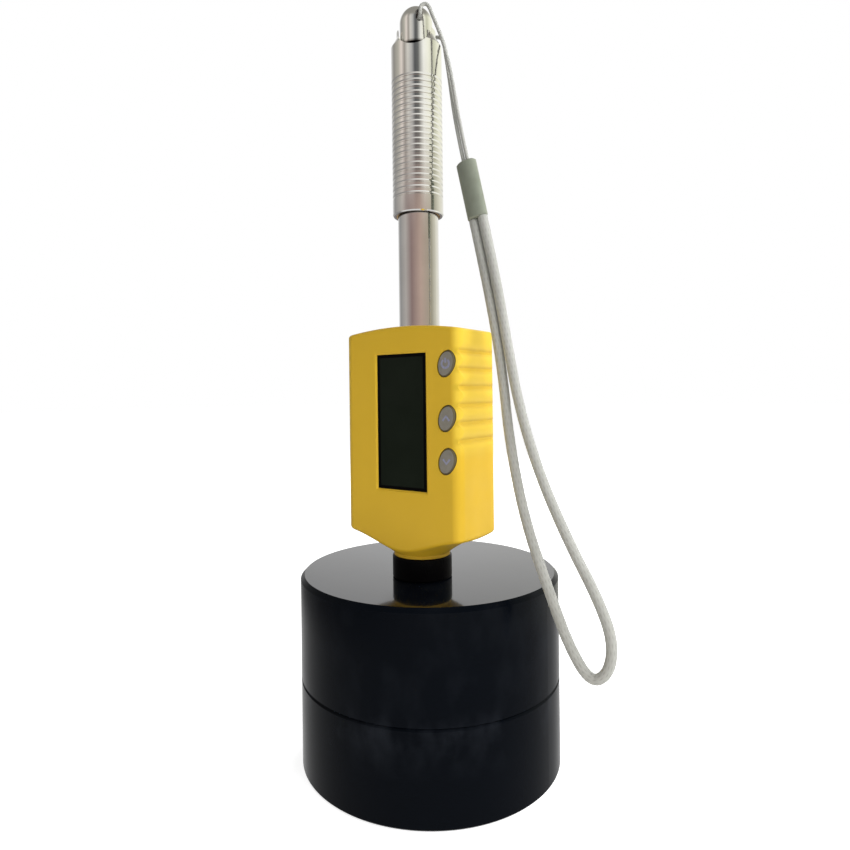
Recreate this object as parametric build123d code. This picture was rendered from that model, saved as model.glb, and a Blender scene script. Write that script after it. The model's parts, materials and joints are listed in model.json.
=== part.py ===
from build123d import *
import math
import os

# Pen-type rebound hardness tester on its test block. Millimetres, +Z up.
# The origin is the centre of the block's underside; the housing's front faces -Y.

# Test block
block_diameter = 80.6
base_height = 26.1
block_height = 31.2
rim_bevel = 1.2
seam_bevel = 0.5

# Where the tester stands on the block, from the block's axis
tester_place = (3.4, -8.6)

# Fits
running_clearance = 0.08
seat_clearance = 0.05
spring_gap = 0.1

# Support ring and guide tube
ring_wall = 2.85
ring_height = 6.8
ring_lip = 2.0
ring_edge = 0.5
tube_diameter = 12.3
guide_bore = 8.0
clip_groove = 0.3

# Housing
housing_width = 41.0
wall = 2.0
neck_wall = 2.35
neck_height = 0.9
hip_rise = 6.4
foot_bulge = 1.2
foot_edge = 1.2
side_height = 59.2
crown_rise = 1.7
crown_edge = 1.0
front_radius = 2.8
rear_radius = 3.8
parting_offset = 5.5

# Grip grooves on both sides of the housing
groove_count = 6
groove_pitch = 5.0
groove_depth = 0.8
groove_width = 0.7
grip_drop = 3.9

# Screen
window_width = 17.5
window_height = 39.6
window_thickness = 0.9
window_sink = 0.5
window_ledge = 0.6
window_offset = 0.5
window_bevel = 0.5
window_drop = 26.2

# Keys
key_width = 5.2
key_height = 7.4
key_tilt = -18.0
key_edge = 4.1
key_drops = {"key_top": 9.8, "key_middle": 25.0, "key_bottom": 36.9}
key_crown = 0.25
key_bevel = 0.35
key_wall = 1.1
key_clearance = 0.2
key_travel = 0.5
flange_width = 3.8
flange_height = 9.4
flange_thickness = 0.7
plunger_diameter = 2.4

# Circuit board, its switches and its screws
board_gap = 0.35
board_thickness = 1.0
board_edge = 0.3
board_drop = 7.3
board_height = 40.6
pad_height = 1.5
pad_diameter = 3.6
pad_spread = 12.8
pad_drops = (17.4, 44.9)
board_screw = 1.3
board_screw_head = 2.8
board_screw_head_height = 0.8
switch_size = 3.6
switch_height = 0.8

# Battery and charging socket
battery_thickness = 8.0
battery_height = 36.0
battery_gap = 1.5
socket_length = 5.8
socket_width = 7.5
socket_height = 3.0
socket_drop = 37.9
plug_flange_width = 11.5
plug_flange_height = 4.6
plug_flange = 0.8
plug_gap = 0.15

# Housing screws
boss_diameter = 4.4
boss_low_spread = 14.5
boss_low_rise = 5.8
boss_high_spread = 10.9
boss_high_drop = 4.8
screw_diameter = 2.0
screw_head = 4.0
screw_head_height = 1.6
screw_length = 11.0
drive_width = 0.6
drive_length = 2.6
drive_depth = 0.8

# Speed pick-up round the tube
bobbin_height = 8.1
bobbin_flange = 1.0
bobbin_wall = 0.8
bobbin_rim = 2.0
coil_depth = 1.0
snap_ring_width = 0.8
snap_ring_rim = 1.1
seal_height = 1.6
seal_rim = 1.2

# Loading sleeve
load_stroke = 25.0
exposed_tube = 34.2
sleeve_length = 48.6
sleeve_wall = 1.0
sleeve_bevel = 0.3
rib_count = 21
rib_pitch = 1.74
rib_rise = 5.3
rib_groove = 0.9
rib_depth = 0.2
bush_wall = 0.55
bush_inset = 0.6
bush_length = 7.0
stop_width = 2.0
tube_end = 0.6

# End cap and release button
cap_spigot = 6.5
cap_flange = 2.3
cap_cone = 3.0
cap_horn = 1.8
cap_tip = 12.0
cup_wall = 0.6
cup_floor = 1.2
notch_width = 10.0
notch_turn = 27.0
notch_rise = 0.4
button_head = 10.0
head_gap = 1.0
button_stem = 5.0
button_collar = 8.4
button_collar_height = 1.2
button_lift = 0.2
button_travel = 1.6
dome_rise = 7.9
eye_width = 2.2
eye_rise = 2.4
eye_turn = -43.0

# Catch, rod, pin and impact body
ball_diameter = 3.0
ball_clearance = 0.2
ball_recess = 1.0
nose_diameter = 3.8
nose_height = 3.3
body_length = 12.5
magnet_diameter = 5.2
magnet_height = 4.0
tail_plug = 4.0
tail_neck = 3.5
tail_neck_height = 4.0
tail_head = 4.0
tail_head_height = 4.0
chuck_diameter = 5.6
chuck_start = 2.0
chuck_jaw = 1.9
chuck_grip = 7.0
chuck_wall = 3.5
chuck_socket = 3.0
chuck_slot = 0.6
rod_diameter = 5.0
rod_collar_height = 3.0
rod_flange = 1.0
rod_flange_gap = 0.7
pin_diameter = 2.4
pin_gap = 1.0
pin_stub = 3.0

# Springs
loading_wire = 0.9
loading_turns = 6
impact_wire = 0.7
impact_coil = 6.8
impact_turns = 9
impact_length = 20.0
button_wire = 0.5
button_coil = 6.4
button_turns = 3

# Wrist strap: a thin cord through the button, a ferrule and a thicker wrist loop
cord_diameter = 1.1
loop_diameter = 2.8
ferrule_width = 6.2
ferrule_depth = 4.4
ferrule_edge = 0.7
ferrule_top = Vector(17.1, 0, 179.4)
ferrule_bottom = Vector(20.9, 0, 162.6)
cord_points = [
    (17.73, 0, 179.54),
    (14.75, 0, 192.71),
    (12.9, -0.5, 205.7),
    (10.65, -1.3, 215.9),
    (8.7, -2.05, 221.5),
    (7.5, -2.5, 224.7),
    (6.85, -2.85, 226.8),
    (6.1, -3.35, 227.8),
    (5.1, -4, 227.6),
    (4.7, -4.4, 226.7),
    (4.75, -4.5, 225.5),
    (4.1, -3.83, 224.6),
    (-4.39, 4.09, 224.6),
    (-2, 7, 224.5),
    (2.9, 6.9, 223.7),
    (7, 4.4, 220.5),
    (9.3, 1.9, 214.3),
    (11.5, 0.6, 205.0),
    (13.62, 0, 191.84),
    (16.47, 0, 179.26),
]
loop_points = [
    (19.44, 0, 162.27),
    (24.29, 0, 140.8),
    (28.2, 0, 118.2),
    (30.14, -0.27, 99.22),
    (35.09, -1.41, 78.01),
    (42.3, -3.15, 61.32),
    (48.56, -4.32, 47.3),
    (54.32, -4.64, 40.45),
    (58.95, -4.53, 42.92),
    (59.96, -4.09, 50.91),
    (55.96, -3.24, 60.37),
    (47.81, -1.99, 73.59),
    (39.61, -0.9, 89.83),
    (33.39, -0.18, 107.71),
    (29.8, 0, 126.0),
    (26.33, 0, 145.37),
    (22.36, 0, 162.93),
]
bend_share = 0.45

# Heights and places that follow from the sizes above
block_top = base_height + block_height
tube_bottom = block_top + ring_lip
neck_bottom = block_top + ring_height
under_z = neck_bottom + neck_height
hip_z = under_z + hip_rise
shoulder_z = hip_z + side_height
crown_z = shoulder_z + crown_rise
cavity_floor = hip_z + wall
cavity_top = shoulder_z - wall

tube_radius = tube_diameter / 2
ring_diameter = tube_diameter + 2 * ring_wall
neck_diameter = tube_diameter + 2 * neck_wall
sleeve_bore = tube_diameter + 2 * bush_wall
sleeve_diameter = sleeve_bore + 2 * sleeve_wall
loading_coil = (tube_diameter + guide_bore) / 2
board_back = tube_radius + board_gap
board_front = board_back + board_thickness
wall_inside = board_front + pad_height
front_y = wall_inside + wall
housing_depth = 2 * front_y
cavity_half = housing_width / 2 - wall
board_top = shoulder_z - board_drop

tube_seat = tube_diameter + 2 * seat_clearance
clip_root = tube_diameter - 2 * clip_groove
clip_bore = clip_root + 2 * seat_clearance
seal_seat = tube_diameter + 2 * seal_rim
bobbin_bottom = cavity_floor
bobbin_top = bobbin_bottom + bobbin_height
bobbin_core = tube_seat + 2 * bobbin_wall
snap_bottom = bobbin_top

sleeve_bottom = crown_z + exposed_tube
sleeve_top = sleeve_bottom + sleeve_length
bush_bottom = sleeve_bottom + bush_inset
stop_bottom = bush_bottom + bush_length + seat_clearance
tube_top = stop_bottom + stop_width + tube_end
rod_top = sleeve_top - cap_spigot
cap_rim = sleeve_top + cap_flange
cap_shoulder = cap_rim + cap_cone
cap_top = cap_shoulder + cap_horn
floor_top = sleeve_top
floor_bottom = floor_top - cup_floor
head_low = floor_top + button_travel + head_gap
dome_top = cap_top + dome_rise
button_shoulder = floor_bottom - button_lift
button_bottom = button_shoulder - button_collar_height
eye_z = cap_top + eye_rise

ball_bottom = block_top + load_stroke + ball_clearance
nose_bottom = ball_bottom + ball_diameter - ball_recess
body_bottom = nose_bottom + nose_height
body_top = body_bottom + body_length
head_bottom = body_top + tail_neck_height
head_top = head_bottom + tail_head_height
chuck_bottom = body_top + chuck_start
chuck_floor = chuck_bottom + chuck_jaw + chuck_grip
rod_bottom = chuck_floor + chuck_wall
collar_bottom = body_top + impact_length
pin_bottom = head_top + button_travel + pin_gap

BASE = (Align.CENTER, Align.CENTER, Align.MIN)


def tube(outer, inner, low, high):
    """Round tube on the Z axis, from one height to another. An inner diameter of 0 makes it solid."""
    body = Cylinder(outer / 2, high - low, align=BASE)
    if inner:
        body -= Cylinder(inner / 2, high - low, align=BASE)
    return Pos(0, 0, low) * body


def turned(points):
    """Solid of revolution about the Z axis from its half outline, given as (radius, height) points."""
    outline = Plane.XZ * make_face(Polyline(*points, close=True))
    return revolve(outline, Axis.Z)


def slab(x_low, x_high, y_low, y_high, z_low, z_high):
    """Box between two corners."""
    size = (x_high - x_low, y_high - y_low, z_high - z_low)
    centre = ((x_low + x_high) / 2, (y_low + y_high) / 2, (z_low + z_high) / 2)
    return Pos(*centre) * Box(*size)


def peg(diameter, x, z, y_low, y_high):
    """Round peg along the Y axis."""
    outline = Plane(origin=(x, y_low, z), z_dir=(0, 1, 0)) * Circle(diameter / 2)
    return extrude(outline, y_high - y_low)


def bent_path(points):
    """Straight runs joined by the largest tangent arcs that the runs allow."""
    route = [Vector(*p) for p in points]
    radii = []
    for before, corner, after in zip(route, route[1:], route[2:]):
        turn = math.radians((corner - before).get_angle(after - corner))
        shorter = min((corner - before).length, (after - corner).length)
        radii.append(bend_share * shorter / math.tan(turn / 2))
    return FilletPolyline(*route, radius=radii), radii


def cord(name, points, diameter):
    """Round cord along a bent path, with its radii and its volume printed for comparison."""
    path, radii = bent_path(points)
    solid = sweep(Plane(origin=path @ 0, z_dir=path % 0) * Circle(diameter / 2), path=path)
    expected = math.pi * diameter**2 / 4 * path.length
    print(name, "length", round(path.length, 2), "radii", [round(r, 1) for r in radii])
    print(name, "volume", round(solid.volume, 2), "section times length", round(expected, 2))
    return solid


def coil_spring(name, wire, coil, turns, low, high):
    """Helical spring of round wire, swept on two tangent arcs for each quarter turn."""
    radius = coil / 2
    climb = (high - low - wire) / (turns * 2 * math.pi)

    def at(angle):
        height = low + wire / 2 + climb * angle
        return Vector(radius * math.cos(angle), radius * math.sin(angle), height)

    def heading(angle):
        return Vector(-radius * math.sin(angle), radius * math.cos(angle), climb).normalized()

    quarter = math.pi / 2
    edges = []
    for step in range(4 * turns):
        start, end = at(step * quarter), at((step + 1) * quarter)
        leave, arrive = heading(step * quarter), heading((step + 1) * quarter)
        chord, both = end - start, leave + arrive
        fall = both.dot(both) - 4
        along = chord.dot(both)
        reach = (along - math.sqrt(along**2 - fall * chord.dot(chord))) / fall
        first, second = start + leave * reach, end - arrive * reach
        middle = (first + second) * 0.5
        edges.append(TangentArc(start, middle, tangent=leave))
        edges.append(TangentArc(middle, end, tangent=(second - first).normalized()))
    samples = [at(i * quarter / 4) for i in range(16 * turns + 1)]
    gap = min((b - a).length for i, a in enumerate(samples) for b in samples[i + 8:]) - wire
    print(name, "least gap to itself", round(gap, 2))
    section = Plane(origin=at(0), z_dir=heading(0)) * Circle(wire / 2)
    return sweep(section, path=Wire(edges))


# Test block
def make_base():
    body = tube(block_diameter, 0, 0, base_height)
    return chamfer(body.edges().filter_by(GeomType.CIRCLE), seam_bevel)


def make_block():
    body = tube(block_diameter, 0, base_height, block_top)
    body = chamfer(body.edges().group_by(Axis.Z)[-1], rim_bevel)
    return chamfer(body.edges().group_by(Axis.Z)[0], seam_bevel)


# Support ring, guide tube and what is fixed on the tube
def make_ring():
    body = tube(ring_diameter, guide_bore, block_top, neck_bottom)
    body -= tube(tube_seat, 0, tube_bottom, neck_bottom)
    rim = body.edges().filter_by(lambda e: abs(e.length - math.pi * ring_diameter) < 0.01)
    return fillet(rim, ring_edge)


def make_tube():
    body = tube(tube_diameter, guide_bore, tube_bottom, tube_top)
    for low, width in ((snap_bottom, snap_ring_width), (stop_bottom, stop_width)):
        body -= tube(tube_diameter + clip_groove, clip_root, low, low + width)
    return body


def make_bobbin():
    rim = tube_seat + 2 * bobbin_rim
    body = tube(rim, tube_seat, bobbin_bottom, bobbin_top)
    inner_low = bobbin_bottom + bobbin_flange
    inner_high = bobbin_top - bobbin_flange
    return body - tube(rim + bobbin_rim, bobbin_core, inner_low, inner_high)


def make_coil():
    low = bobbin_bottom + bobbin_flange
    high = bobbin_top - bobbin_flange
    bore = bobbin_core + 2 * seat_clearance
    return tube(bore + 2 * coil_depth, bore, low, high)


def make_snap_ring():
    rim = tube_diameter + 2 * snap_ring_rim
    return tube(rim, clip_bore, snap_bottom, snap_bottom + snap_ring_width)


def make_seal():
    rim = seal_seat - 2 * seat_clearance
    return tube(rim, tube_seat, cavity_top, cavity_top + seal_height)


def make_stop_ring():
    rim = sleeve_bore - 2 * running_clearance
    return tube(rim, clip_bore, stop_bottom, stop_bottom + stop_width)


# Housing
grip_top = shoulder_z - grip_drop


def grip_side(sign):
    """One side of the housing's front outline, foot to shoulder, with its rounded ridges."""
    face = sign * housing_width / 2
    root = face - sign * groove_depth
    start = grip_top - groove_count * groove_pitch
    edges = [Line((face, under_z), (face, start))]
    for i in range(groove_count):
        crest = start + i * groove_pitch
        foot = crest + (groove_pitch - groove_width) / 2
        head = foot + groove_width
        top = crest + groove_pitch
        edges.append(TangentArc((face, crest), (root, foot), tangent=(0, 1)))
        edges.append(Line((root, foot), (root, head)))
        edges.append(TangentArc((face, top), (root, head), tangent=(0, -1)))
    edges.append(Line((face, grip_top), (face, shoulder_z)))
    return edges


def rounded_plan(width, depth, front, rear, z):
    """Plan outline with its own corner radius at the front and at the rear."""
    plan = Rectangle(width, depth)
    plan = fillet(plan.vertices().group_by(Axis.Y)[0], front)
    plan = fillet(plan.vertices().group_by(Axis.Y)[-1], rear)
    return Pos(0, 0, z) * plan


def foot_bell():
    """Turned form that the housing's foot is cut to, from the neck out to past the corners."""
    neck = neck_diameter / 2
    corner = math.hypot(housing_width / 2, front_y)
    middle = ((neck + corner) / 2, (under_z + hip_z) / 2 + foot_bulge)
    top = crown_z + wall
    outline = [
        ThreePointArc((neck, under_z), middle, (corner, hip_z)),
        *Polyline((corner, hip_z), (corner, top), (0, top), (0, under_z), (neck, under_z)).edges(),
    ]
    return revolve(Plane.XZ * make_face(outline), Axis.Z)


def make_housing():
    """Whole outer form of the housing: front outline and plan in common, a drawn-in foot and a neck."""
    half = housing_width / 2
    waist = Line((-half, under_z), (half, under_z))
    crown = ThreePointArc((-half, shoulder_z), (0, crown_z), (half, shoulder_z))
    front = make_face([waist, *grip_side(-1), *grip_side(1), crown])
    body = extrude(Plane.XZ * front, front_y, both=True)
    plan = rounded_plan(housing_width, housing_depth, front_radius, rear_radius, under_z)
    body &= extrude(plan, crown_z - under_z)
    top = body.edges().filter_by(lambda e: min((e @ 0).Z, (e @ 1).Z) > shoulder_z - seat_clearance)
    body = fillet(top, crown_edge)
    body &= foot_bell()
    low = body.edges().filter_by(lambda e: under_z + seat_clearance < (e @ 0.5).Z < hip_z)
    body = fillet(low.filter_by(lambda e: e.geom_type != GeomType.LINE), foot_edge)
    body += tube(neck_diameter, 0, neck_bottom, under_z)
    body -= tube(tube_seat, 0, neck_bottom, crown_z)
    body -= tube(seal_seat, 0, cavity_top, cavity_top + seal_height)
    return body - slab(
        -cavity_half, cavity_half, -wall_inside, wall_inside, cavity_floor, cavity_top
    )


def boss_places():
    """Where the housing screws stand, as (x, z)."""
    low = [(side * boss_low_spread, hip_z + boss_low_rise) for side in (-1, 1)]
    high = [(side * boss_high_spread, shoulder_z - boss_high_drop) for side in (-1, 1)]
    return low + high


def pad_places():
    """Where the board's screws stand, as (x, z)."""
    return [(side * pad_spread, shoulder_z - drop) for drop in pad_drops for side in (-1, 1)]


key_x = housing_width / 2 - key_edge
window_z = shoulder_z - window_drop
window_back = front_y - window_sink - window_thickness
socket_z = shoulder_z - socket_drop
socket_y = -(board_back - socket_height / 2)


def front_plate(width, height, x, z, y_low, y_high):
    """Upright rectangular plate that faces the front."""
    return slab(x - width / 2, x + width / 2, y_low, y_high, z - height / 2, z + height / 2)


def key_oval(z, y_low, y_high, grow):
    """Tilted oval of a key, grown all round, as a solid along the Y axis."""
    oval = Rot(0, 0, key_tilt) * Ellipse(key_width / 2 + grow, key_height / 2 + grow)
    outline = Plane(origin=(key_x, y_high, z), x_dir=(1, 0, 0), z_dir=(0, -1, 0)) * oval
    return extrude(outline, y_high - y_low)


def make_front_shell(housing):
    body = housing & slab(
        -housing_width, housing_width, -housing_depth, parting_offset, neck_bottom, crown_z
    )
    for x, z in boss_places():
        body += peg(boss_diameter, x, z, -wall_inside, parting_offset)
        body -= peg(screw_diameter, x, z, parting_offset - screw_length, parting_offset)
    for x, z in pad_places():
        body += peg(pad_diameter, x, z, -wall_inside, -board_front)
        body -= peg(board_screw, x, z, -wall_inside - wall / 2, -board_front)
    recess = 2 * seat_clearance
    body -= front_plate(
        window_width + recess, window_height + recess, window_offset, window_z, -front_y, -window_back
    )
    bevel = 2 * (seat_clearance + window_bevel)
    rim = Plane(origin=(window_offset, -front_y, window_z), x_dir=(1, 0, 0), z_dir=(0, 1, 0))
    body -= extrude(
        rim * Rectangle(window_width + bevel, window_height + bevel), window_bevel, taper=45
    )
    body -= front_plate(
        window_width - 2 * window_ledge,
        window_height - 2 * window_ledge,
        window_offset,
        window_z,
        -front_y,
        -wall_inside,
    )
    for drop in key_drops.values():
        z = shoulder_z - drop
        body -= key_oval(z, -front_y, -wall_inside, key_clearance)
        body -= front_plate(
            flange_width + 2 * key_clearance,
            flange_height + 2 * key_clearance,
            key_x,
            z,
            key_wall - front_y,
            -wall_inside,
        )
    return body - plug_recess()


def make_rear_shell(housing):
    body = housing & slab(
        -housing_width, housing_width, parting_offset, housing_depth, neck_bottom, crown_z
    )
    for x, z in boss_places():
        body += peg(boss_diameter, x, z, parting_offset, wall_inside)
    for x, z in boss_places():
        body -= peg(screw_diameter + 2 * seat_clearance, x, z, parting_offset, front_y)
        body -= peg(screw_head + 2 * seat_clearance, x, z, wall_inside, front_y)
    return body


def make_shell_screws():
    head_y = wall_inside + screw_head_height
    bodies = []
    for x, z in boss_places():
        body = peg(screw_diameter, x, z, wall_inside - screw_length, wall_inside)
        body += peg(screw_head, x, z, wall_inside, head_y)
        for wide, high in ((drive_width, drive_length), (drive_length, drive_width)):
            body -= front_plate(wide, high, x, z, head_y - drive_depth, head_y)
        bodies.append(body)
    return Compound(bodies)


# Screen and electronics
def make_window():
    return front_plate(
        window_width, window_height, window_offset, window_z, window_sink - front_y, -window_back
    )


def make_display():
    margin = 2 * (window_ledge + 2 * seat_clearance)
    return front_plate(
        window_width - margin,
        window_height - margin,
        window_offset,
        window_z,
        seat_clearance - window_back,
        -board_front,
    )


def make_board():
    half = cavity_half - board_edge
    body = slab(-half, half, -board_front, -board_back, board_top - board_height, board_top)
    for x, z in pad_places():
        body -= peg(board_screw + 2 * seat_clearance, x, z, -board_front, -board_back)
    round_pickup = tube_seat + 2 * (bobbin_rim + board_gap)
    over_pickup = snap_bottom + snap_ring_width + board_gap
    return body - tube(round_pickup, 0, bobbin_bottom - board_gap, over_pickup)


def make_board_screws():
    bodies = []
    for x, z in pad_places():
        shank = peg(board_screw, x, z, -wall_inside - wall / 2, -board_back)
        head = peg(board_screw_head, x, z, -board_back, board_screw_head_height - board_back)
        bodies.append(shank + head)
    return Compound(bodies)


switch_face = board_front + switch_height


def make_switches():
    return Compound(
        [
            front_plate(switch_size, switch_size, key_x, shoulder_z - drop, -switch_face, -board_front)
            for drop in key_drops.values()
        ]
    )


def make_key(drop):
    z = shoulder_z - drop
    flange_front = front_y - key_wall
    flange_back = flange_front - flange_thickness
    body = key_oval(z, -front_y - key_crown, -flange_front, 0)
    body = chamfer(body.edges().group_by(Axis.Y)[0], key_bevel)
    body += front_plate(flange_width, flange_height, key_x, z, -flange_front, -flange_back)
    plunger_end = switch_face + key_travel + 2 * seat_clearance
    return body + peg(plunger_diameter, key_x, z, -flange_back, -plunger_end)


def make_battery():
    left = -cavity_half + board_edge
    right = -tube_radius - battery_gap
    middle = board_top - board_height / 2
    return slab(
        left,
        right,
        wall_inside - battery_thickness,
        wall_inside,
        middle - battery_height / 2,
        middle + battery_height / 2,
    )


def side_plate(x_low, x_high, width, height, grow):
    """Plate in the left side wall round the charging socket."""
    half_width = width / 2 + grow
    half_height = height / 2 + grow
    return slab(
        x_low,
        x_high,
        socket_y - half_height,
        socket_y + half_height,
        socket_z - half_width,
        socket_z + half_width,
    )


plug_seat = -housing_width / 2 + plug_flange


def make_socket():
    left = -cavity_half + seat_clearance
    return side_plate(left, left + socket_length, socket_width, socket_height, 0)


def plug_recess():
    body = side_plate(
        -housing_width / 2, plug_seat, plug_flange_width, plug_flange_height, plug_gap
    )
    return body + side_plate(plug_seat, -cavity_half, socket_width, socket_height, 0)


def make_plug():
    body = side_plate(-housing_width / 2, plug_seat, plug_flange_width, plug_flange_height, 0)
    return body + side_plate(plug_seat, -cavity_half, socket_width, socket_height, -plug_gap)


# Loading sleeve
def make_sleeve():
    """Sleeve with its ring grooves, turned from one outline."""
    outer = sleeve_diameter / 2
    bore = sleeve_bore / 2
    points = [(bore, sleeve_bottom), (outer - sleeve_bevel, sleeve_bottom)]
    points.append((outer, sleeve_bottom + sleeve_bevel))
    for i in range(rib_count):
        middle = sleeve_bottom + rib_rise + i * rib_pitch
        points.append((outer, middle - rib_groove / 2))
        points.append((outer - rib_depth, middle - rib_groove / 6))
        points.append((outer - rib_depth, middle + rib_groove / 6))
        points.append((outer, middle + rib_groove / 2))
    points += [(outer, sleeve_top), (bore, sleeve_top)]
    return turned(points)


def make_bush():
    bore = tube_diameter + 2 * running_clearance
    rim = sleeve_bore - 2 * seat_clearance
    return tube(rim, bore, bush_bottom, bush_bottom + bush_length)


def make_cap():
    """End cap with a cup for the button, notched at the front and the back so that two horns are left."""
    bore = button_collar / 2 + running_clearance
    mouth = button_stem / 2 + running_clearance
    spigot = sleeve_bore / 2 - seat_clearance
    rim = sleeve_diameter / 2
    tip = cap_tip / 2
    cup = tip - cup_wall
    body = turned(
        [
            (bore, rod_top),
            (spigot, rod_top),
            (spigot, sleeve_top),
            (rim, sleeve_top),
            (rim, cap_rim),
            (tip, cap_shoulder),
            (tip, cap_top),
            (cup, cap_top),
            (cup, floor_top),
            (mouth, floor_top),
            (mouth, floor_bottom),
            (bore, floor_bottom),
        ]
    )
    half = notch_width / 2
    middle = floor_top + notch_rise + half
    notch = Pos(0, 0, middle) * (Rot(90, 0, 0) * Cylinder(half, sleeve_diameter))
    notch += slab(-half, half, -rim, rim, middle, cap_top + half)
    return body - Rot(0, 0, notch_turn) * notch


def make_button():
    """Release button: a domed head in the cap's cup, with a tall eye for the strap, on a stem."""
    head = button_head / 2
    stem = button_stem / 2
    shaft = pin_diameter / 2 + seat_clearance
    dome_low = dome_top - head
    outline = [
        *Polyline(
            (0, dome_top),
            (0, button_shoulder + pin_stub),
            (shaft, button_shoulder + pin_stub),
            (shaft, button_shoulder),
            (stem, button_shoulder),
            (stem, head_low),
            (head, head_low),
            (head, dome_low),
        ).edges(),
        TangentArc((head, dome_low), (0, dome_top), tangent=(0, 1)),
    ]
    body = revolve(Plane.XZ * make_face(outline), Axis.Z)
    reach = 2 * button_head
    bore = Rot(0, 90, 0) * Cylinder(eye_width / 2, reach)
    eye = Pos(0, 0, eye_z) * bore
    eye += Pos(0, 0, eye_z + button_travel) * bore
    eye += Pos(0, 0, eye_z + button_travel / 2) * Box(reach, eye_width, button_travel)
    return body - Rot(0, 0, eye_turn) * eye


# Catch and impact body
pin_bore = pin_diameter + 2 * running_clearance
slide_diameter = guide_bore - 2 * running_clearance


def make_rod():
    flange_bottom = rod_top - rod_flange
    body = tube(rod_diameter, 0, rod_bottom, rod_top)
    body += tube(slide_diameter, 0, collar_bottom, collar_bottom + rod_collar_height)
    body += tube(sleeve_bore - 2 * rod_flange_gap, 0, flange_bottom, rod_top)
    return body - tube(pin_bore, 0, rod_bottom, rod_top)


def make_chuck():
    jaw = tail_neck + 2 * running_clearance
    grip = tail_head + 2 * running_clearance
    top = rod_bottom + chuck_socket
    grip_low = chuck_bottom + chuck_jaw
    body = tube(chuck_diameter, 0, chuck_bottom, top)
    body -= tube(jaw, 0, chuck_bottom, grip_low)
    body -= tube(grip, 0, grip_low, chuck_floor)
    body -= tube(pin_bore, 0, chuck_floor, rod_bottom)
    body -= tube(rod_diameter + 2 * seat_clearance, 0, rod_bottom, top)
    half = chuck_slot / 2
    for turn in (0, 90):
        slot = slab(-chuck_diameter, chuck_diameter, -half, half, chuck_bottom, chuck_floor)
        body -= Rot(0, 0, turn) * slot
    return body


def make_pin():
    body = tube(pin_diameter, 0, pin_bottom, button_shoulder + pin_stub)
    return body + tube(button_collar, 0, button_bottom, button_shoulder)


def make_impact_body():
    body = turned(
        [
            (0, nose_bottom),
            (nose_diameter / 2, nose_bottom),
            (slide_diameter / 2, body_bottom),
            (slide_diameter / 2, body_top),
            (0, body_top),
        ]
    )
    seat = magnet_diameter + 2 * seat_clearance
    body -= tube(seat, 0, body_top - tail_plug - magnet_height, body_top)
    return body - Pos(0, 0, ball_bottom + ball_diameter / 2) * Sphere(ball_diameter / 2)


def make_ball():
    return Pos(0, 0, ball_bottom + ball_diameter / 2) * Sphere(ball_diameter / 2)


def make_magnet():
    seat = body_top - tail_plug
    return tube(magnet_diameter, 0, seat - magnet_height, seat)


def make_tail():
    body = tube(magnet_diameter, 0, body_top - tail_plug, body_top)
    body += tube(tail_neck, 0, body_top, head_bottom)
    return body + tube(tail_head, 0, head_bottom, head_top)


# Wrist strap
def make_ferrule():
    """Oval ferrule that joins the thin cord to the wrist loop."""
    way = ferrule_bottom - ferrule_top
    frame = Plane(origin=ferrule_top, x_dir=(-way.Z, 0, way.X), z_dir=way)
    body = extrude(frame * Ellipse(ferrule_width / 2, ferrule_depth / 2), way.length)
    return chamfer(body.edges().filter_by(GeomType.ELLIPSE), ferrule_edge / 2)


housing = make_housing()
block = {
    "block_base": make_base(),
    "test_block": make_block(),
}
tester = {
    "support_ring": make_ring(),
    "guide_tube": make_tube(),
    "coil_bobbin": make_bobbin(),
    "pickup_coil": make_coil(),
    "snap_ring": make_snap_ring(),
    "tube_seal": make_seal(),
    "stop_ring": make_stop_ring(),
    "front_shell": make_front_shell(housing),
    "rear_shell": make_rear_shell(housing),
    "shell_screws": make_shell_screws(),
    "screen_window": make_window(),
    "display_module": make_display(),
    "circuit_board": make_board(),
    "board_screws": make_board_screws(),
    "key_switches": make_switches(),
    "battery": make_battery(),
    "charge_socket": make_socket(),
    "port_plug": make_plug(),
    "loading_sleeve": make_sleeve(),
    "sleeve_bush": make_bush(),
    "sleeve_cap": make_cap(),
    "release_button": make_button(),
    "chuck_rod": make_rod(),
    "catch_chuck": make_chuck(),
    "release_pin": make_pin(),
    "impact_body": make_impact_body(),
    "impact_ball": make_ball(),
    "body_magnet": make_magnet(),
    "body_tail": make_tail(),
    "loading_spring": coil_spring(
        "loading_spring",
        loading_wire,
        loading_coil,
        loading_turns,
        tube_top,
        rod_top - rod_flange - spring_gap,
    ),
    "impact_spring": coil_spring(
        "impact_spring",
        impact_wire,
        impact_coil,
        impact_turns,
        body_top + spring_gap,
        collar_bottom,
    ),
    "button_spring": coil_spring(
        "button_spring",
        button_wire,
        button_coil,
        button_turns,
        rod_top,
        button_bottom - spring_gap,
    ),
    "strap_cord": cord("strap_cord", cord_points, cord_diameter),
    "strap_ferrule": make_ferrule(),
    "wrist_loop": cord("wrist_loop", loop_points, loop_diameter),
}
for name, drop in key_drops.items():
    tester[name] = make_key(drop)

os.makedirs("parts", exist_ok=True)
for name, solid in block.items():
    export_step(solid, f"parts/{name}.step")
for name, solid in tester.items():
    export_step(Pos(*tester_place) * solid, f"parts/{name}.step")
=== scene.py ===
import json
import math

import bpy
from mathutils import Matrix, Vector


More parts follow.
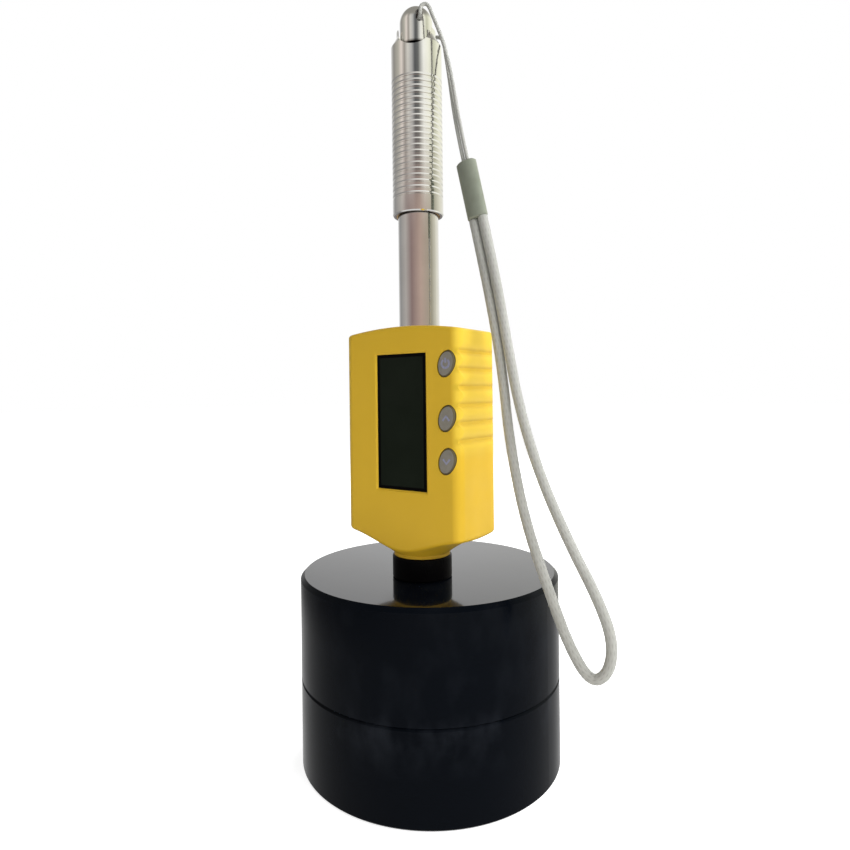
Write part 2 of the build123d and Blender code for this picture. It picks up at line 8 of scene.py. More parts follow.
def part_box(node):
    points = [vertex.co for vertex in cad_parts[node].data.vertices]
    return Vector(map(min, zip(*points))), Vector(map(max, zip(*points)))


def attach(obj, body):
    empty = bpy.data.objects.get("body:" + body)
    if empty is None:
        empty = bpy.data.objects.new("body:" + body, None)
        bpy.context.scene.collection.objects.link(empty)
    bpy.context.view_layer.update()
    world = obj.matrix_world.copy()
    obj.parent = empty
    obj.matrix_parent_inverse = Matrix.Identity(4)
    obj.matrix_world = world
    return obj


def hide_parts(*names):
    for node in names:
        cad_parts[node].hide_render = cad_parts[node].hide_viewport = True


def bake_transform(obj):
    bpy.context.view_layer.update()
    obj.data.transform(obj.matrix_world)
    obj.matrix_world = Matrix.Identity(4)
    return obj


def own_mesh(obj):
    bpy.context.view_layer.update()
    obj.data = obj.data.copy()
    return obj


# A pen-type hardness tester on its test block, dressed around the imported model. Metres, +Z up.
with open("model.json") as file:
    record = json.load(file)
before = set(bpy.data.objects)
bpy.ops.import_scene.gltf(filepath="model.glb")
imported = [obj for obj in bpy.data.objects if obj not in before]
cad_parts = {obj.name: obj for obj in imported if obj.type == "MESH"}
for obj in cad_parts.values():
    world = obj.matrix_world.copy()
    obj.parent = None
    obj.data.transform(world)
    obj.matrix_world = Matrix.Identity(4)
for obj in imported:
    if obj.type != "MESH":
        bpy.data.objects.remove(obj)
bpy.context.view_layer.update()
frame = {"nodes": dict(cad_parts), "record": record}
nodes = frame["nodes"]
scene = bpy.context.scene
MM = 0.001


def middle(node):
    """Centre of a node's box."""
    low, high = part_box(node)
    return Vector([(a + b) / 2 for a, b in zip(low, high)])


# The tester's own axis, beside the block's axis at the origin
tester_axis = middle("guide_tube")
tester_axis.z = 0

# Camera: level, from the front right, rolled a little as the photo is
camera_azimuth = math.radians(35)
camera_distance = 195 * MM
camera_height = 112.2 * MM
camera_roll = math.radians(-0.68)
picture_size = 850
focal_pixels = 639
horizon_pixel = 395
axis_pixel = 420.4
sensor_width = 36

# Wrist strap: the thin cord and the wrist loop. A braid is its strands each way, pitch and depth.
cord_diameter = 1.1 * MM
cord_braid = (3, 1.5 * MM, 0.1)
cord_sides = 14
cord_steps = 40
loop_diameter = 2.8 * MM
loop_braid = (10, 3.6 * MM, 0.04)
loop_sides = 40
loop_steps = 90

# Routes of the two cords, from the tester's axis, in millimetres
cord_route = [
    (17.73, 0, 179.54),
    (14.75, 0, 192.71),
    (12.9, -0.5, 205.7),
    (10.65, -1.3, 215.9),
    (8.7, -2.05, 221.5),
    (7.5, -2.5, 224.7),
    (6.85, -2.85, 226.8),
    (6.1, -3.35, 227.8),
    (5.1, -4, 227.6),
    (4.7, -4.4, 226.7),
    (4.75, -4.5, 225.5),
    (4.1, -3.83, 224.6),
    (-4.39, 4.09, 224.6),
    (-2, 7, 224.5),
    (2.9, 6.9, 223.7),
    (7, 4.4, 220.5),
    (9.3, 1.9, 214.3),
    (11.5, 0.6, 205.0),
    (13.62, 0, 191.84),
    (16.47, 0, 179.26),
]
loop_route = [
    (19.44, 0, 162.27),
    (24.29, 0, 140.8),
    (28.2, 0, 118.2),
    (30.14, -0.27, 99.22),
    (35.09, -1.41, 78.01),
    (42.3, -3.15, 61.32),
    (48.56, -4.32, 47.3),
    (54.32, -4.64, 39.5),
    (58.95, -4.53, 42.92),
    (59.96, -4.09, 50.91),
    (55.96, -3.24, 60.37),
    (47.81, -1.99, 73.59),
    (39.61, -0.9, 89.83),
    (33.39, -0.18, 107.71),
    (29.8, 0, 126.0),
    (26.33, 0, 145.37),
    (22.36, 0, 162.93),
]


def make_camera():
    forward = Vector((-math.sin(camera_azimuth), math.cos(camera_azimuth), 0))
    level = Vector((math.cos(camera_azimuth), math.sin(camera_azimuth), 0))
    rise = Vector((0, 0, 1))
    right = level * math.cos(camera_roll) + rise * math.sin(camera_roll)
    up = rise * math.cos(camera_roll) - level * math.sin(camera_roll)
    camera = bpy.data.objects.new("camera", bpy.data.cameras.new("camera"))
    scene.collection.objects.link(camera)
    camera.data.sensor_width = sensor_width
    camera.data.lens = focal_pixels / picture_size * sensor_width
    camera.data.shift_x = (picture_size / 2 - axis_pixel) / picture_size
    camera.data.shift_y = (horizon_pixel - picture_size / 2) / picture_size
    camera.data.clip_start = 10 * MM
    turn = Matrix((right, up, -forward)).transposed().to_4x4()
    place = tester_axis - forward * camera_distance + rise * camera_height
    camera.matrix_world = Matrix.Translation(place) @ turn
    scene.camera = camera


make_camera()


# Strap: braided tubes round the smooth lines of the two routes
def smooth_line(route, steps):
    """Points along the NURBS line that has the route's points as its control points."""
    data = bpy.data.curves.new("route", "CURVE")
    data.dimensions = "3D"
    data.resolution_u = steps
    spline = data.splines.new("NURBS")
    spline.points.add(len(route) - 1)
    for point, place in zip(spline.points, route):
        point.co = (*(tester_axis + Vector(place) * MM), 1)
    spline.order_u = 3
    spline.use_endpoint_u = True
    holder = bpy.data.objects.new("route", data)
    scene.collection.objects.link(holder)
    mesh = bpy.data.meshes.new_from_object(holder)
    line = [v.co.copy() for v in mesh.vertices]
    bpy.data.objects.remove(holder)
    bpy.data.curves.remove(data)
    bpy.data.meshes.remove(mesh)
    return line


def new_piece(name, verts, faces, smooth=True):
    mesh = bpy.data.meshes.new(name)
    mesh.from_pydata(verts, [], faces)
    mesh.polygons.foreach_set("use_smooth", [smooth] * len(mesh.polygons))
    piece = bpy.data.objects.new(name, mesh)
    scene.collection.objects.link(piece)
    return piece


def tube_along(name, line, diameter, sides, braid=None):
    """Tube along a line, plain or braided. The height of a braid's ridges is kept with its points."""
    strands, pitch, depth = braid or (0, 1, 0)
    verts, heights = [], []
    along = 0.0
    heading = (line[1] - line[0]).normalized()
    side = heading.orthogonal().normalized()
    for i, centre in enumerate(line):
        ahead = line[min(i + 1, len(line) - 1)]
        behind = line[max(i - 1, 0)]
        turned = (ahead - behind).normalized()
        side = heading.rotation_difference(turned) @ side
        heading = turned
        side = (side - heading * side.dot(heading)).normalized()
        other = heading.cross(side)
        if i:
            along += (centre - line[i - 1]).length
        lay = 2 * math.pi * along / pitch
        for k in range(sides):
            angle = 2 * math.pi * k / sides
            ridge = max(math.cos(strands * angle + lay), math.cos(strands * angle - lay))
            height = 0.5 + 0.5 * ridge
            radius = diameter / 2 * (1 - depth + depth * height)
            verts.append(centre + (side * math.cos(angle) + other * math.sin(angle)) * radius)
            heights.append(height)
    faces = []
    for i in range(len(line) - 1):
        for k in range(sides):
            n = (k + 1) % sides
            faces.append((i * sides + k, i * sides + n, (i + 1) * sides + n, (i + 1) * sides + k))
    last = (len(line) - 1) * sides
    faces.append(tuple(reversed(range(sides))))
    faces.append(tuple(range(last, last + sides)))
    piece = new_piece(name, verts, faces)
    if braid:
        piece.data.attributes.new("ridge", "FLOAT", "POINT").data.foreach_set("value", heights)
    return piece


thin_line = smooth_line(cord_route, cord_steps)
thin_cord = tube_along("thin_cord", thin_line, cord_diameter, cord_sides, cord_braid)
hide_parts("strap_cord")
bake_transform(thin_cord)

loop_line = smooth_line(loop_route, loop_steps)
wrist_cord = tube_along("wrist_cord", loop_line, loop_diameter, loop_sides, loop_braid)
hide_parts("wrist_loop")
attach(wrist_cord, "tester")


# Coil springs: wire and turns
loading_wire = 0.9 * MM
loading_turns = 6
button_wire = 0.5 * MM
button_turns = 3
steps_per_turn = 48
wire_sides = 12


def coil_spring(name, node, wire, turns, body):
    """Coil in the box of the spring that it stands for."""
    low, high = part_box(node)
    foot = middle(node)
    foot.z = low.z
    length = high.z - low.z
    radius = (high.x - low.x - wire) / 2
    steps = turns * steps_per_turn
    line = []
    for i in range(steps + 1):
        angle = 2 * math.pi * i / steps_per_turn
        rise = wire / 2 + (length - wire) * i / steps
        line.append(foot + Vector((radius * math.cos(angle), radius * math.sin(angle), rise)))
    piece = tube_along(name, line, wire, wire_sides)
    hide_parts(node)
    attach(piece, body)
    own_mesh(piece)
    return piece


springs = [
    coil_spring("loading_coil", "loading_spring", loading_wire, loading_turns, "tester"),
    coil_spring("button_coil", "button_spring", button_wire, button_turns, "sleeve"),
]


# Printed marks on the keys: a ring with a bar, and an arrowhead each way
mark_radius = 1.2 * MM
mark_width = 0.6 * MM
mark_proud = 0.03 * MM
ring_gap = 35
ring_steps = 24
bar_low = 0.2 * MM
bar_high = 1.6 * MM
arrow_reach = 1.1 * MM
arrow_rise = 0.65 * MM


def arc(start, end, steps):
    """Points on the mark's circle, by degrees from straight up."""
    angles = [math.radians(start + (end - start) * i / steps) for i in range(steps + 1)]
    return [(mark_radius * math.sin(a), mark_radius * math.cos(a)) for a in angles]


def arrowhead(way):
    """An arrowhead that points up (1) or down (-1)."""
    tip = way * arrow_rise
    return [(-arrow_reach, -tip), (0, tip), (arrow_reach, -tip)]


def printed_mark(name, key, body, strokes):
    """Raised ink on a key's face, along strokes given as (x, z) from the key's middle."""
    face = middle(key)
    face.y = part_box(key)[0].y - mark_proud
    verts, faces = [], []
    for stroke in strokes:
        line = [face + Vector((x, 0, z)) for x, z in stroke]
        for i, point in enumerate(line):
            heading = (line[min(i + 1, len(line) - 1)] - line[max(i - 1, 0)]).normalized()
            across = Vector((-heading.z, 0, heading.x)) * mark_width / 2
            verts += [point - across, point + across]
            if i:
                n = len(verts)
                faces.append((n - 4, n - 3, n - 1, n - 2))
    piece = new_piece(name, verts, faces, smooth=False)
    sheet = piece.modifiers.new("ink", "SOLIDIFY")
    sheet.thickness = 2 * mark_proud
    sheet.offset = 0
    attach(piece, body)
    return piece


open_ring = arc(ring_gap, 360 - ring_gap, ring_steps)
bar = [(0, bar_low), (0, bar_high)]
marks = [
    printed_mark("mark_ring", "key_top", "key_one", [open_ring, bar]),
    printed_mark("mark_up", "key_middle", "key_two", [arrowhead(1)]),
    printed_mark("mark_down", "key_bottom", "key_three", [arrowhead(-1)]),
]


# Materials
class Net:
    """A node tree, with short ways to add nodes and join them."""

    def __init__(self, owner):
        owner.use_nodes = True
        self.tree = owner.node_tree
        self.tree.nodes.clear()

    def add(self, kind, inputs=None, **settings):
        """Adds a node. An input is a value, or a socket to join to it."""
        made = self.tree.nodes.new(kind)
        for key, value in settings.items():
            setattr(made, key, value)
        for key, value in (inputs or {}).items():
            if isinstance(value, bpy.types.NodeSocket):
                self.tree.links.new(value, made.inputs[key])
            else:
                made.inputs[key].default_value = value
        return made

    def math(self, operation, first, second=0.0):
        return self.add("ShaderNodeMath", {0: first, 1: second}, operation=operation).outputs[0]

    def span(self, source, low, high, start=0.3, end=0.7, smooth=False):
        """Maps a value from start..end to low..high."""
        inputs = {"Value": source, "From Min": start, "From Max": end, "To Min": low, "To Max": high}
        kind = "SMOOTHSTEP" if smooth else "LINEAR"
        return self.add("ShaderNodeMapRange", inputs, interpolation_type=kind).outputs["Result"]

    def blend(self, factor, first, second):
        """Mixes two colours, each a colour or a socket."""
        first, second = (c if isinstance(c, bpy.types.NodeSocket) else (*c, 1) for c in (first, second))
        inputs = {"Factor": factor, "A": first, "B": second}
        return self.add("ShaderNodeMix", inputs, data_type="RGBA").outputs["Result"]

    def length(self, vector):
        return self.add("ShaderNodeVectorMath", {0: vector}, operation="LENGTH").outputs["Value"]


class Finish(Net):
    """A material with one surface shader and textures in the object's own space."""

    def __init__(self, name, **values):
        self.material = bpy.data.materials.new(name)
        super().__init__(self.material)
        self.place = self.add("ShaderNodeTexCoord").outputs["Object"]
        sockets = {key.replace("_", " "): value for key, value in values.items()}
        self.surface = self.add("ShaderNodeBsdfPrincipled", sockets)
        self.add("ShaderNodeOutputMaterial", {"Surface": self.surface.outputs[0]})

    def noise(self, size, detail=3.0, stretch=None):
        """Noise with features of about this size, in metres."""
        place = self.place
        if stretch:
            place = self.add("ShaderNodeMapping", {"Vector": place, "Scale": stretch}).outputs[0]
        inputs = {"Vector": place, "Scale": 1 / size, "Detail": detail}
        return self.add("ShaderNodeTexNoise", inputs).outputs["Fac"]

    def axis(self, name, source=None):
        return self.add("ShaderNodeSeparateXYZ", {"Vector": source or self.place}).outputs[name]

    def normal(self, name):
        """One axis of the surface's direction."""
        return self.axis(name, self.add("ShaderNodeTexCoord").outputs["Normal"])

    def colour(self, source):
        self.tree.links.new(source, self.surface.inputs["Base Color"])

    def rough(self, source):
        self.tree.links.new(source, self.surface.inputs["Roughness"])

    def bump(self, height, depth):
        bump = self.add("ShaderNodeBump", {"Height": height, "Distance": depth})
        self.tree.links.new(bump.outputs["Normal"], self.surface.inputs["Normal"])


def plain_finish(name, light, dark, size, roughness, grain, depth, **values):
    """A finish whose colour, roughness and fine relief vary a little over the surface."""
    finish = Finish(name, **values)
    finish.colour(finish.blend(finish.span(finish.noise(size), 0, 1), dark, light))
    finish.rough(finish.span(finish.noise(size / 3), *roughness))
    finish.bump(finish.noise(grain, 2.0), depth)
    return finish.material


def grip_sheen_and_shade(finish):
    """Shares of the housing's sides that get a painted sheen, and of the grip's grooves that get painted
    shade.
    """
    groove_pitch = 5 * MM
    groove_count = 6
    grip_top = 126.7 * MM
    side_start = 18 * MM
    side_full = 19.4 * MM
    # In groove pitches: where the painted sheen and shade fade below the last groove, and a groove's core
    # and brim
    fade_start = groove_count - 0.4
    fade_end = groove_count + 0.6
    core = 0.04
    brim = 0.3
    across = finish.math("ABSOLUTE", finish.math("SUBTRACT", finish.axis("X"), tester_axis.x))
    side = finish.span(across, 0, 1, side_start, side_full)
    down = finish.math("DIVIDE", finish.math("SUBTRACT", grip_top, finish.axis("Z")), groove_pitch)
    # Painted sheen: the housing's sides, down to below the last groove, are made lighter
    side_sheen = finish.math("MULTIPLY", side, finish.span(down, 1, 0, fade_start, fade_end, smooth=True))
    off = finish.math("ABSOLUTE", finish.math("SUBTRACT", finish.math("FRACT", down), 0.5))
    # Painted shade: darkest at each groove's core, fading out to its brim
    dip = finish.span(off, 1, 0, core, brim, smooth=True)
    groove_shade = finish.math("MULTIPLY", dip, finish.math("GREATER_THAN", down, 0.0))
    return side_sheen, finish.math("MULTIPLY", side_sheen, groove_shade)


def yellow_plastic():
    """Moulded yellow plastic with a fine spark texture, faint handling marks, painted sheen on the grip's
    sides and painted shade in its grooves.
    """
    finish = Finish("yellow_plastic", IOR=1.4)
    patches = finish.span(finish.noise(22 * MM, 4.0), 0, 1)
    clean = finish.blend(patches, (0.84, 0.533, 0.030), (0.89, 0.568, 0.037))
    side_sheen, groove_shade = grip_sheen_and_shade(finish)
    # Painted sheen: a paler, brighter yellow on the housing's sides
    sheened = finish.blend(side_sheen, clean, (0.91, 0.635, 0.06))
    # Painted shade: a darker yellow down in the grip's grooves
    finish.colour(finish.blend(groove_shade, sheened, (0.78, 0.52, 0.037)))
    finish.rough(finish.span(finish.noise(6 * MM), 0.36, 0.5))
    finish.bump(finish.noise(0.45 * MM, 2.0), 0.012 * MM)
    return finish.material


def chrome_plate():
    """Polished chrome with fine drawn lines, a trace of haze, and painted shade on its undersides and low
    in the cap's cup.
    """
    cup_radius = 5.3 * MM
    cup_lip = 5.5 * MM
    # Heights above the cup's floor where the painted shade fades out
    shade_depth = 2.6 * MM
    shade_edge = 3.4 * MM
    finish = Finish("chrome_plate", Metallic=1.0)
    haze = finish.span(finish.noise(9 * MM), 0, 1)
    plate = finish.blend(haze, (0.80, 0.79, 0.77), (0.88, 0.87, 0.85))
    # Painted shade: faces turned down are made dark brown
    underside_shade = finish.span(finish.normal("Z"), 1, 0, -0.98, -0.9)
    plate = finish.blend(underside_shade, plate, (0.16, 0.13, 0.12))
    # Painted shade: the button and the walls low inside the cap's cup are made near black
    centred = {"Vector": finish.place, "Location": -tester_axis, "Scale": (1, 1, 0)}
    outward = finish.add("ShaderNodeMapping", centred).outputs[0]
    inside = finish.span(finish.length(outward), 1, 0, cup_radius, cup_lip)
    cup_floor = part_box("loading_sleeve")[1].z
    cup_shade = finish.span(finish.axis("Z"), 1, 0, cup_floor + shade_depth, cup_floor + shade_edge)
    finish.colour(finish.blend(finish.math("MULTIPLY", inside, cup_shade), plate, (0.1, 0.085, 0.07)))
    finish.rough(finish.span(finish.noise(4 * MM, 4.0), 0.06, 0.12))
    finish.bump(finish.noise(0.4 * MM, 2.0, (1, 1, 0.05)), 0.002 * MM)
    return finish.material


def black_finish():
    """Blacked steel with dusty smudges on its sides, and a lapped, polished face on top."""
    dust_start = 14 * MM
    dust_full = 1 * MM
    dust_end = 4 * MM
    finish = Finish("black_finish", IOR=1.13, Coat_IOR=1.45, Coat_Roughness=0.06)
    lapped = finish.span(finish.normal("Z"), 0, 0.88, 0.9, 0.99)
    finish.tree.links.new(lapped, finish.surface.inputs["Coat Weight"])
    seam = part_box("test_block")[0].z
    below = finish.span(finish.axis("Z"), 0, 1, seam - dust_start, seam - dust_full)
    above = finish.span(finish.axis("Z"), 1, 0.25, seam - dust_full, seam + dust_end)
    streaks = finish.span(finish.noise(7 * MM, 5.0, (1, 1, 0.6)), 0, 1, 0.45, 0.75)
    dust = finish.math("MULTIPLY", finish.math("MULTIPLY", below, above), streaks)
    finish.colour(finish.blend(dust, (0.0022, 0.0034, 0.0058), (0.015, 0.018, 0.024)))
    finish.rough(finish.span(finish.noise(10 * MM, 5.0), 0.08, 0.2))
    finish.bump(finish.noise(1.2 * MM, 4.0), 0.002 * MM)
    return finish.material


def screen_tint():
    """Dark tinted window with a faintly green panel inside a black border."""
    finish = Finish("screen_tint", IOR=1.15)
    border = 1.1 * MM
    blur = 0.25 * MM
    low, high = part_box("screen_window")
    centre = middle("screen_window")
    inside = []
    for name in "XZ":
        i = "XYZ".index(name)
        off = finish.math("SUBTRACT", finish.axis(name), centre[i])
        half = (high[i] - low[i]) / 2 - border
        inside.append(finish.span(finish.math("ABSOLUTE", off), 1, 0, half, half + blur))
    cells = finish.span(finish.noise(9 * MM), 0, 1)
    panel = finish.blend(cells, (0.0095, 0.0135, 0.0087), (0.0118, 0.0165, 0.011))
    finish.colour(finish.blend(finish.math("MULTIPLY", *inside), (0.0015, 0.0015, 0.0015), panel))
    finish.rough(finish.span(finish.noise(5 * MM, 4.0), 0.05, 0.12))
    return finish.material


def key_grey():
    """Satin grey key whose wall has painted shade, a dark olive."""
    finish = Finish("key_grey", IOR=1.4)
    face = finish.span(finish.normal("Y"), 1, 0, -0.98, -0.85)
    wear = finish.span(finish.noise(1.4 * MM), 0, 1)
    top = finish.blend(wear, (0.255, 0.24, 0.2), (0.31, 0.29, 0.245))
    # Painted shade: the key's wall, off its front face, is made dark olive
    finish.colour(finish.blend(face, (0.13, 0.11, 0.06), top))
    finish.rough(finish.span(finish.noise(2 * MM), 0.45, 0.6))
    finish.bump(finish.noise(0.3 * MM), 0.008 * MM)
    return finish.material


def strap_weave():
    """Off-white braid, with painted shade down between its strands."""
    finish = Finish("strap_weave", Sheen_Weight=0.1, Sheen_Roughness=0.5, IOR=1.35)
    ridge = finish.add("ShaderNodeAttribute", attribute_name="ridge").outputs["Fac"]
    soil = finish.span(finish.noise(12 * MM), 0, 1)
    crest = finish.blend(soil, (0.5, 0.505, 0.468), (0.57, 0.575, 0.538))
    # Painted shade: greyer down between the strands, by the height of the braid's ridges
    finish.colour(finish.blend(finish.span(ridge, 0, 1, 0.0, 0.6), (0.41, 0.41, 0.375), crest))
    finish.rough(finish.span(finish.noise(0.8 * MM), 0.65, 0.85))
    finish.bump(finish.noise(0.12 * MM), 0.015 * MM)
    return finish.material


def metal(name, **values):
    return plain_finish(name, **values, Metallic=1.0)


finishes = {
    "black_block": black_finish(),
    "black_ring": plain_finish(
        "black_ring",
        light=(0.0025, 0.002, 0.0025),
        dark=(0.001, 0.001, 0.0015),
        size=6 * MM,
        roughness=(0.25, 0.4),
        grain=0.4 * MM,
        depth=0.004 * MM,
        IOR=1.15,
    ),
    "yellow_plastic": yellow_plastic(),
    "screen": screen_tint(),
    "display": plain_finish(
        "display_panel",
        light=(0.012, 0.016, 0.012),
        dark=(0.008, 0.01, 0.008),
        size=4 * MM,
        roughness=(0.2, 0.3),
        grain=0.5 * MM,
        depth=0.002 * MM,
    ),
    "key_grey": key_grey(),
    "black_plastic": plain_finish(
        "black_plastic",
        light=(0.022, 0.022, 0.022),
        dark=(0.014, 0.014, 0.014),
        size=5 * MM,
        roughness=(0.5, 0.65),
        grain=0.3 * MM,
        depth=0.01 * MM,
    ),
    "black_rubber": plain_finish(
        "black_rubber",
        light=(0.016, 0.016, 0.016),
        dark=(0.01, 0.01, 0.01),
        size=4 * MM,
        roughness=(0.6, 0.8),
        grain=0.25 * MM,
        depth=0.02 * MM,
    ),
    "copper": metal(
        "copper_wire",
        light=(0.62, 0.27, 0.12),
        dark=(0.5, 0.2, 0.08),
        size=2 * MM,
        roughness=(0.25, 0.4),
        grain=0.2 * MM,
        depth=0.02 * MM,
    ),
    "bronze": metal(
        "bronze",
        light=(0.5, 0.32, 0.13),
        dark=(0.42, 0.26, 0.1),
        size=3 * MM,
        roughness=(0.3, 0.45),
        grain=0.3 * MM,
        depth=0.004 * MM,
    ),
    "chrome": chrome_plate(),
    "steel": metal(
        "ground_steel",
        light=(0.5, 0.5, 0.5),
        dark=(0.42, 0.42, 0.42),
        size=3 * MM,
        roughness=(0.25, 0.4),
        grain=0.2 * MM,
        depth=0.004 * MM,
    ),
    "bright_metal": metal(
        "nickel_plate",
        light=(0.62, 0.61, 0.58),
        dark=(0.55, 0.54, 0.5),
        size=3 * MM,
        roughness=(0.15, 0.25),
        grain=0.3 * MM,
        depth=0.003 * MM,
    ),
    "ball": metal(
        "lapped_ball",
        light=(0.35, 0.35, 0.37),
        dark=(0.3, 0.3, 0.31),
        size=1 * MM,
        roughness=(0.08, 0.14),
        grain=0.2 * MM,
        depth=0.001 * MM,
    ),
    "board": plain_finish(
        "solder_resist",
        light=(0.02, 0.11, 0.045),
        dark=(0.012, 0.08, 0.03),
        size=3 * MM,
        roughness=(0.3, 0.4),
        grain=0.4 * MM,
        depth=0.006 * MM,
    ),
    "battery_foil": metal(
        "battery_foil",
        light=(0.5, 0.51, 0.53),
        dark=(0.42, 0.43, 0.45),
        size=4 * MM,
        roughness=(0.3, 0.45),
        grain=0.6 * MM,
        depth=0.02 * MM,
    ),
    "strap": strap_weave(),
    "ferrule": plain_finish(
        "ferrule_rubber",
        light=(0.30, 0.325, 0.26),
        dark=(0.25, 0.275, 0.215),
        size=5 * MM,
        roughness=(0.42, 0.58),
        grain=0.25 * MM,
        depth=0.01 * MM,
    ),
}


def dress(piece, finish):
    piece.data.materials.clear()
    piece.data.materials.append(finish)


for part in frame["record"]["subparts"]:
    dress(nodes[part["node"]], finishes[part["material_slot"]])
for piece in (thin_cord, wrist_cord):
    dress(piece, finishes["strap"])
for piece in springs:
    dress(piece, finishes["steel"])
mark_ink = plain_finish(
    "mark_ink",
    light=(0.38, 0.39, 0.54),
    dark=(0.31, 0.32, 0.45),
    size=0.6 * MM,
    roughness=(0.4, 0.55),
    grain=0.1 * MM,
    depth=0.004 * MM,
)
for piece in marks:
    dress(piece, mark_ink)


# Soft edges on the moulded and turned parts: bevel width of each
edge_angle = math.radians(35)
edge_segments = 3
edge_widths = {
    "front_shell": 0.22 * MM,
    "rear_shell": 0.22 * MM,
    "strap_ferrule": 0.45 * MM,
    "block_base": 0.25 * MM,
    "test_block": 0.25 * MM,
    "support_ring": 0.2 * MM,
    "port_plug": 0.2 * MM,
    "screen_window": 0.1 * MM,
    "loading_sleeve": 0.14 * MM,
    "sleeve_cap": 0.1 * MM,
}
for name, width in edge_widths.items():
    bevel = nodes[name].modifiers.new("soft_edges", "BEVEL")
    bevel.width = width
    bevel.segments = edge_segments
    bevel.limit_method = "ANGLE"
    bevel.angle_limit = edge_angle
    bevel.harden_normals = True


# Floor, surroundings and light. The floor's glow brings its tone, under the fill, up to white.
fill_strength = 0.24
floor_reach = 6.0
floor_drop = 0.2 * MM
floor_grey = 0.8
floor_glow = 1.01 - floor_grey * fill_strength

# Tone of the floor in reflections, close to the object, and where it gives way to the studio's
near_tone = (0.75, 0.75, 0.75)
near_start = 140 * MM
near_end = 190 * MM

# Heights, by the sine of the angle up, where the low tones give way to the high, and these to the ceiling
high_start = 0.24
high_full = 0.42
ceiling_start = 0.55
ceiling_full = 0.85
ceiling_tone = (0.3, 0.29, 0.26)

# Tones of the studio round the object, by degrees to the right of straight back at the camera
floor_tones = [
    (-180, (0.6, 0.6, 0.6)),
    (-155, (0.45, 0.45, 0.45)),
    (-125, (0.28, 0.28, 0.28)),
    (-60, (0.32, 0.3, 0.29)),
    (-10, (0.75, 0.73, 0.7)),
    (20, (1.0, 1.0, 0.95)),
    (110, (1.0, 1.0, 0.92)),
    (150, (0.65, 0.65, 0.6)),
    (180, (0.6, 0.6, 0.6)),
]
low_tones = [
    (-180, (1.0, 1.0, 1.0)),
    (-130, (0.3, 0.3, 0.3)),
    (-80, (0.47, 0.44, 0.42)),
    (-42, (0.28, 0.2, 0.19)),
    (10, (0.52, 0.39, 0.33)),
    (75, (0.38, 0.36, 0.28)),
    (112, (0.75, 0.73, 0.62)),
    (180, (1.0, 1.0, 1.0)),
]
high_tones = [
    (-180, (1.0, 1.0, 1.0)),
    (-125, (0.3, 0.29, 0.27)),
    (-90, (0.5, 0.48, 0.42)),
    (-72, (0.84, 0.76, 0.7)),
    (-56, (0.36, 0.33, 0.3)),
    (-40, (0.72, 0.7, 0.65)),
    (-22, (0.5, 0.5, 0.49)),
    (-8, (0.11, 0.115, 0.12)),
    (8, (0.16, 0.165, 0.16)),
    (32, (1.0, 1.0, 0.94)),
    (56, (1.0, 1.0, 0.86)),
    (80, (0.64, 0.65, 0.5)),
    (112, (1.0, 1.0, 0.82)),
    (145, (1.0, 1.0, 0.85)),
    (180, (1.0, 1.0, 1.0)),
]


def bearing(net, heading):
    """Angle of a direction to the right of straight back at the camera, and its axes turned to match."""
    turn = (0, 0, math.pi / 2 - camera_azimuth)
    turned = net.add("ShaderNodeMapping", {"Vector": heading, "Rotation": turn}).outputs[0]
    axes = net.add("ShaderNodeSeparateXYZ", {"Vector": turned}).outputs
    return net.math("ARCTAN2", axes["Y"], axes["X"]), axes


def ring(net, angle, tones):
    """Colour by angle, from a list of tones."""
    share = net.span(angle, 0, 1, -math.pi, math.pi)
    ramp = net.add("ShaderNodeValToRGB", {"Fac": share})
    stops = ramp.color_ramp.elements
    for degrees, tone in tones[1:-1]:
        stops.new((degrees + 180) / 360).color = (*tone, 1)
    stops[0].color = (*tones[0][1], 1)
    stops[len(stops) - 1].color = (*tones[-1][1], 1)
    return ramp.outputs["Color"]


def ray_kinds(net):
    """Whether a ray comes from the camera, and whether it was mirrored or passed through glass."""
    rays = net.add("ShaderNodeLightPath").outputs
    return rays["Is Camera Ray"], net.math("MAXIMUM", rays["Is Glossy Ray"], rays["Is Transmission Ray"])


def make_floor():
    """Pale floor that looks white but keeps the object's shadow, and mirrors the studio's tones."""
    sides = (-floor_reach, floor_reach)
    corners = [(x, y, 0) for y in sides for x in sides]
    floor = new_piece("floor", corners, [(0, 1, 3, 2)], smooth=False)
    floor.location.z = -floor_drop
    material = bpy.data.materials.new("floor")
    net = Net(material)
    seen, shiny = ray_kinds(net)
    glow = net.add("ShaderNodeEmission", {"Strength": net.math("MULTIPLY", seen, floor_glow)})
    matt = net.add("ShaderNodeBsdfDiffuse", {"Color": (floor_grey, floor_grey, floor_grey, 1)})
    plain = net.add("ShaderNodeAddShader", {0: matt.outputs[0], 1: glow.outputs[0]})
    place = net.add("ShaderNodeTexCoord").outputs["Object"]
    angle, _ = bearing(net, place)
    near = net.span(net.length(place), 1, 0, near_start, near_end)
    tone = net.blend(near, ring(net, angle, floor_tones), near_tone)
    mirrored = net.add("ShaderNodeEmission", {"Color": tone})
    both = net.add("ShaderNodeMixShader", {0: shiny, 1: plain.outputs[0], 2: mirrored.outputs[0]})
    net.add("ShaderNodeOutputMaterial", {"Surface": both.outputs[0]})
    dress(floor, material)


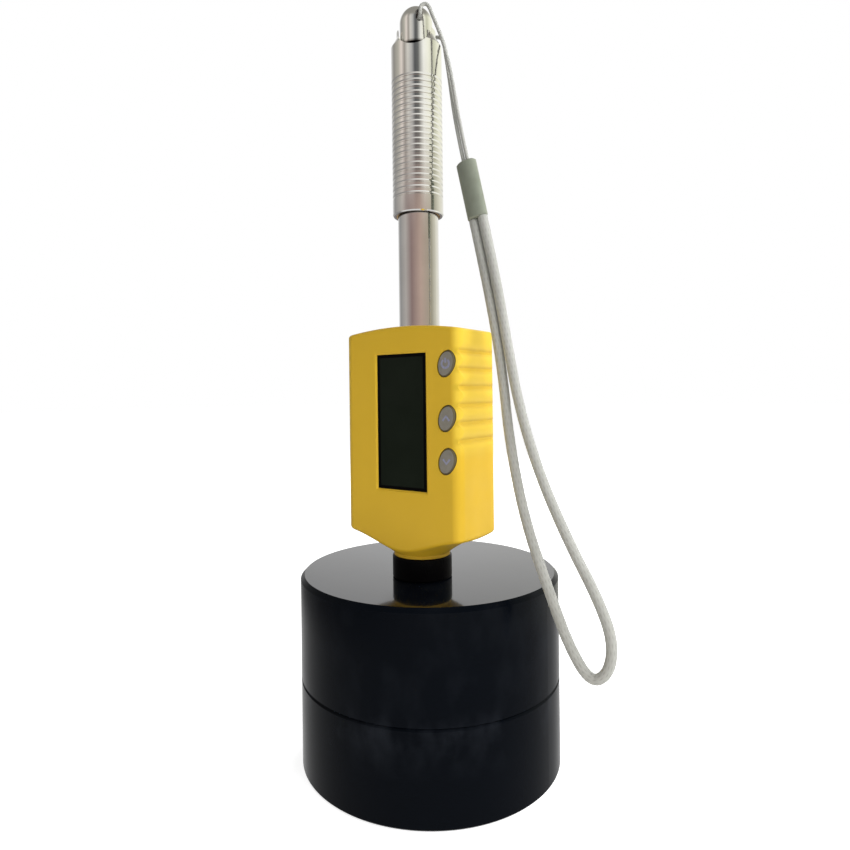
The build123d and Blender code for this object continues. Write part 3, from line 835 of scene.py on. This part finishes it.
def make_world():
    """White to the camera, banded studio tones in reflections, and an even white fill for the rest."""
    scene.world = bpy.data.worlds.new("studio")
    net = Net(scene.world)
    white = (1, 1, 1, 1)
    angle, axes = bearing(net, net.add("ShaderNodeTexCoord").outputs["Generated"])
    low = ring(net, angle, low_tones)
    high = ring(net, angle, high_tones)
    walls = net.blend(net.span(axes["Z"], 0, 1, high_start, high_full, smooth=True), low, high)
    above = net.span(axes["Z"], 0, 1, ceiling_start, ceiling_full, smooth=True)
    tones = net.blend(above, walls, ceiling_tone)
    fill = net.add("ShaderNodeBackground", {"Color": white, "Strength": fill_strength})
    studio = net.add("ShaderNodeBackground", {"Color": tones})
    plain = net.add("ShaderNodeBackground", {"Color": white})
    seen, shiny = ray_kinds(net)
    unseen = net.add("ShaderNodeMixShader", {0: shiny, 1: fill.outputs[0], 2: studio.outputs[0]})
    both = net.add("ShaderNodeMixShader", {0: seen, 1: unseen.outputs[0], 2: plain.outputs[0]})
    net.add("ShaderNodeOutputWorld", {"Surface": both.outputs[0]})


def make_light(name, place, aim, size, power, tint=(1, 1, 1)):
    """Soft box that lights the object but isn't mirrored in it."""
    data = bpy.data.lights.new(name, "AREA")
    data.shape = "RECTANGLE"
    data.size, data.size_y = size
    data.energy = power
    data.color = tint
    lamp = bpy.data.objects.new(name, data)
    lamp.location = place
    lamp.rotation_euler = (Vector(aim) - Vector(place)).to_track_quat("-Z", "Y").to_euler()
    lamp.visible_glossy = False
    scene.collection.objects.link(lamp)


make_floor()
make_world()
make_light(
    "key_light",
    place=(0.42, 0.03, 0.4),
    aim=(0.02, 0, 0.1),
    size=(0.56, 0.2),
    power=2.75,
)
make_light(
    "bounce_light",
    place=(0.04, -0.17, 0.012),
    aim=(0, 0, 0.06),
    size=(0.25, 0.02),
    power=0.072,
    tint=(1, 0.92, 0.84),
)
make_light(
    "back_light",
    place=(-0.2, 0.75, 0.5),
    aim=(0, 0, 0.1),
    size=(0.45, 0.45),
    power=4.4,
)
scene.view_settings.view_transform = "Standard"
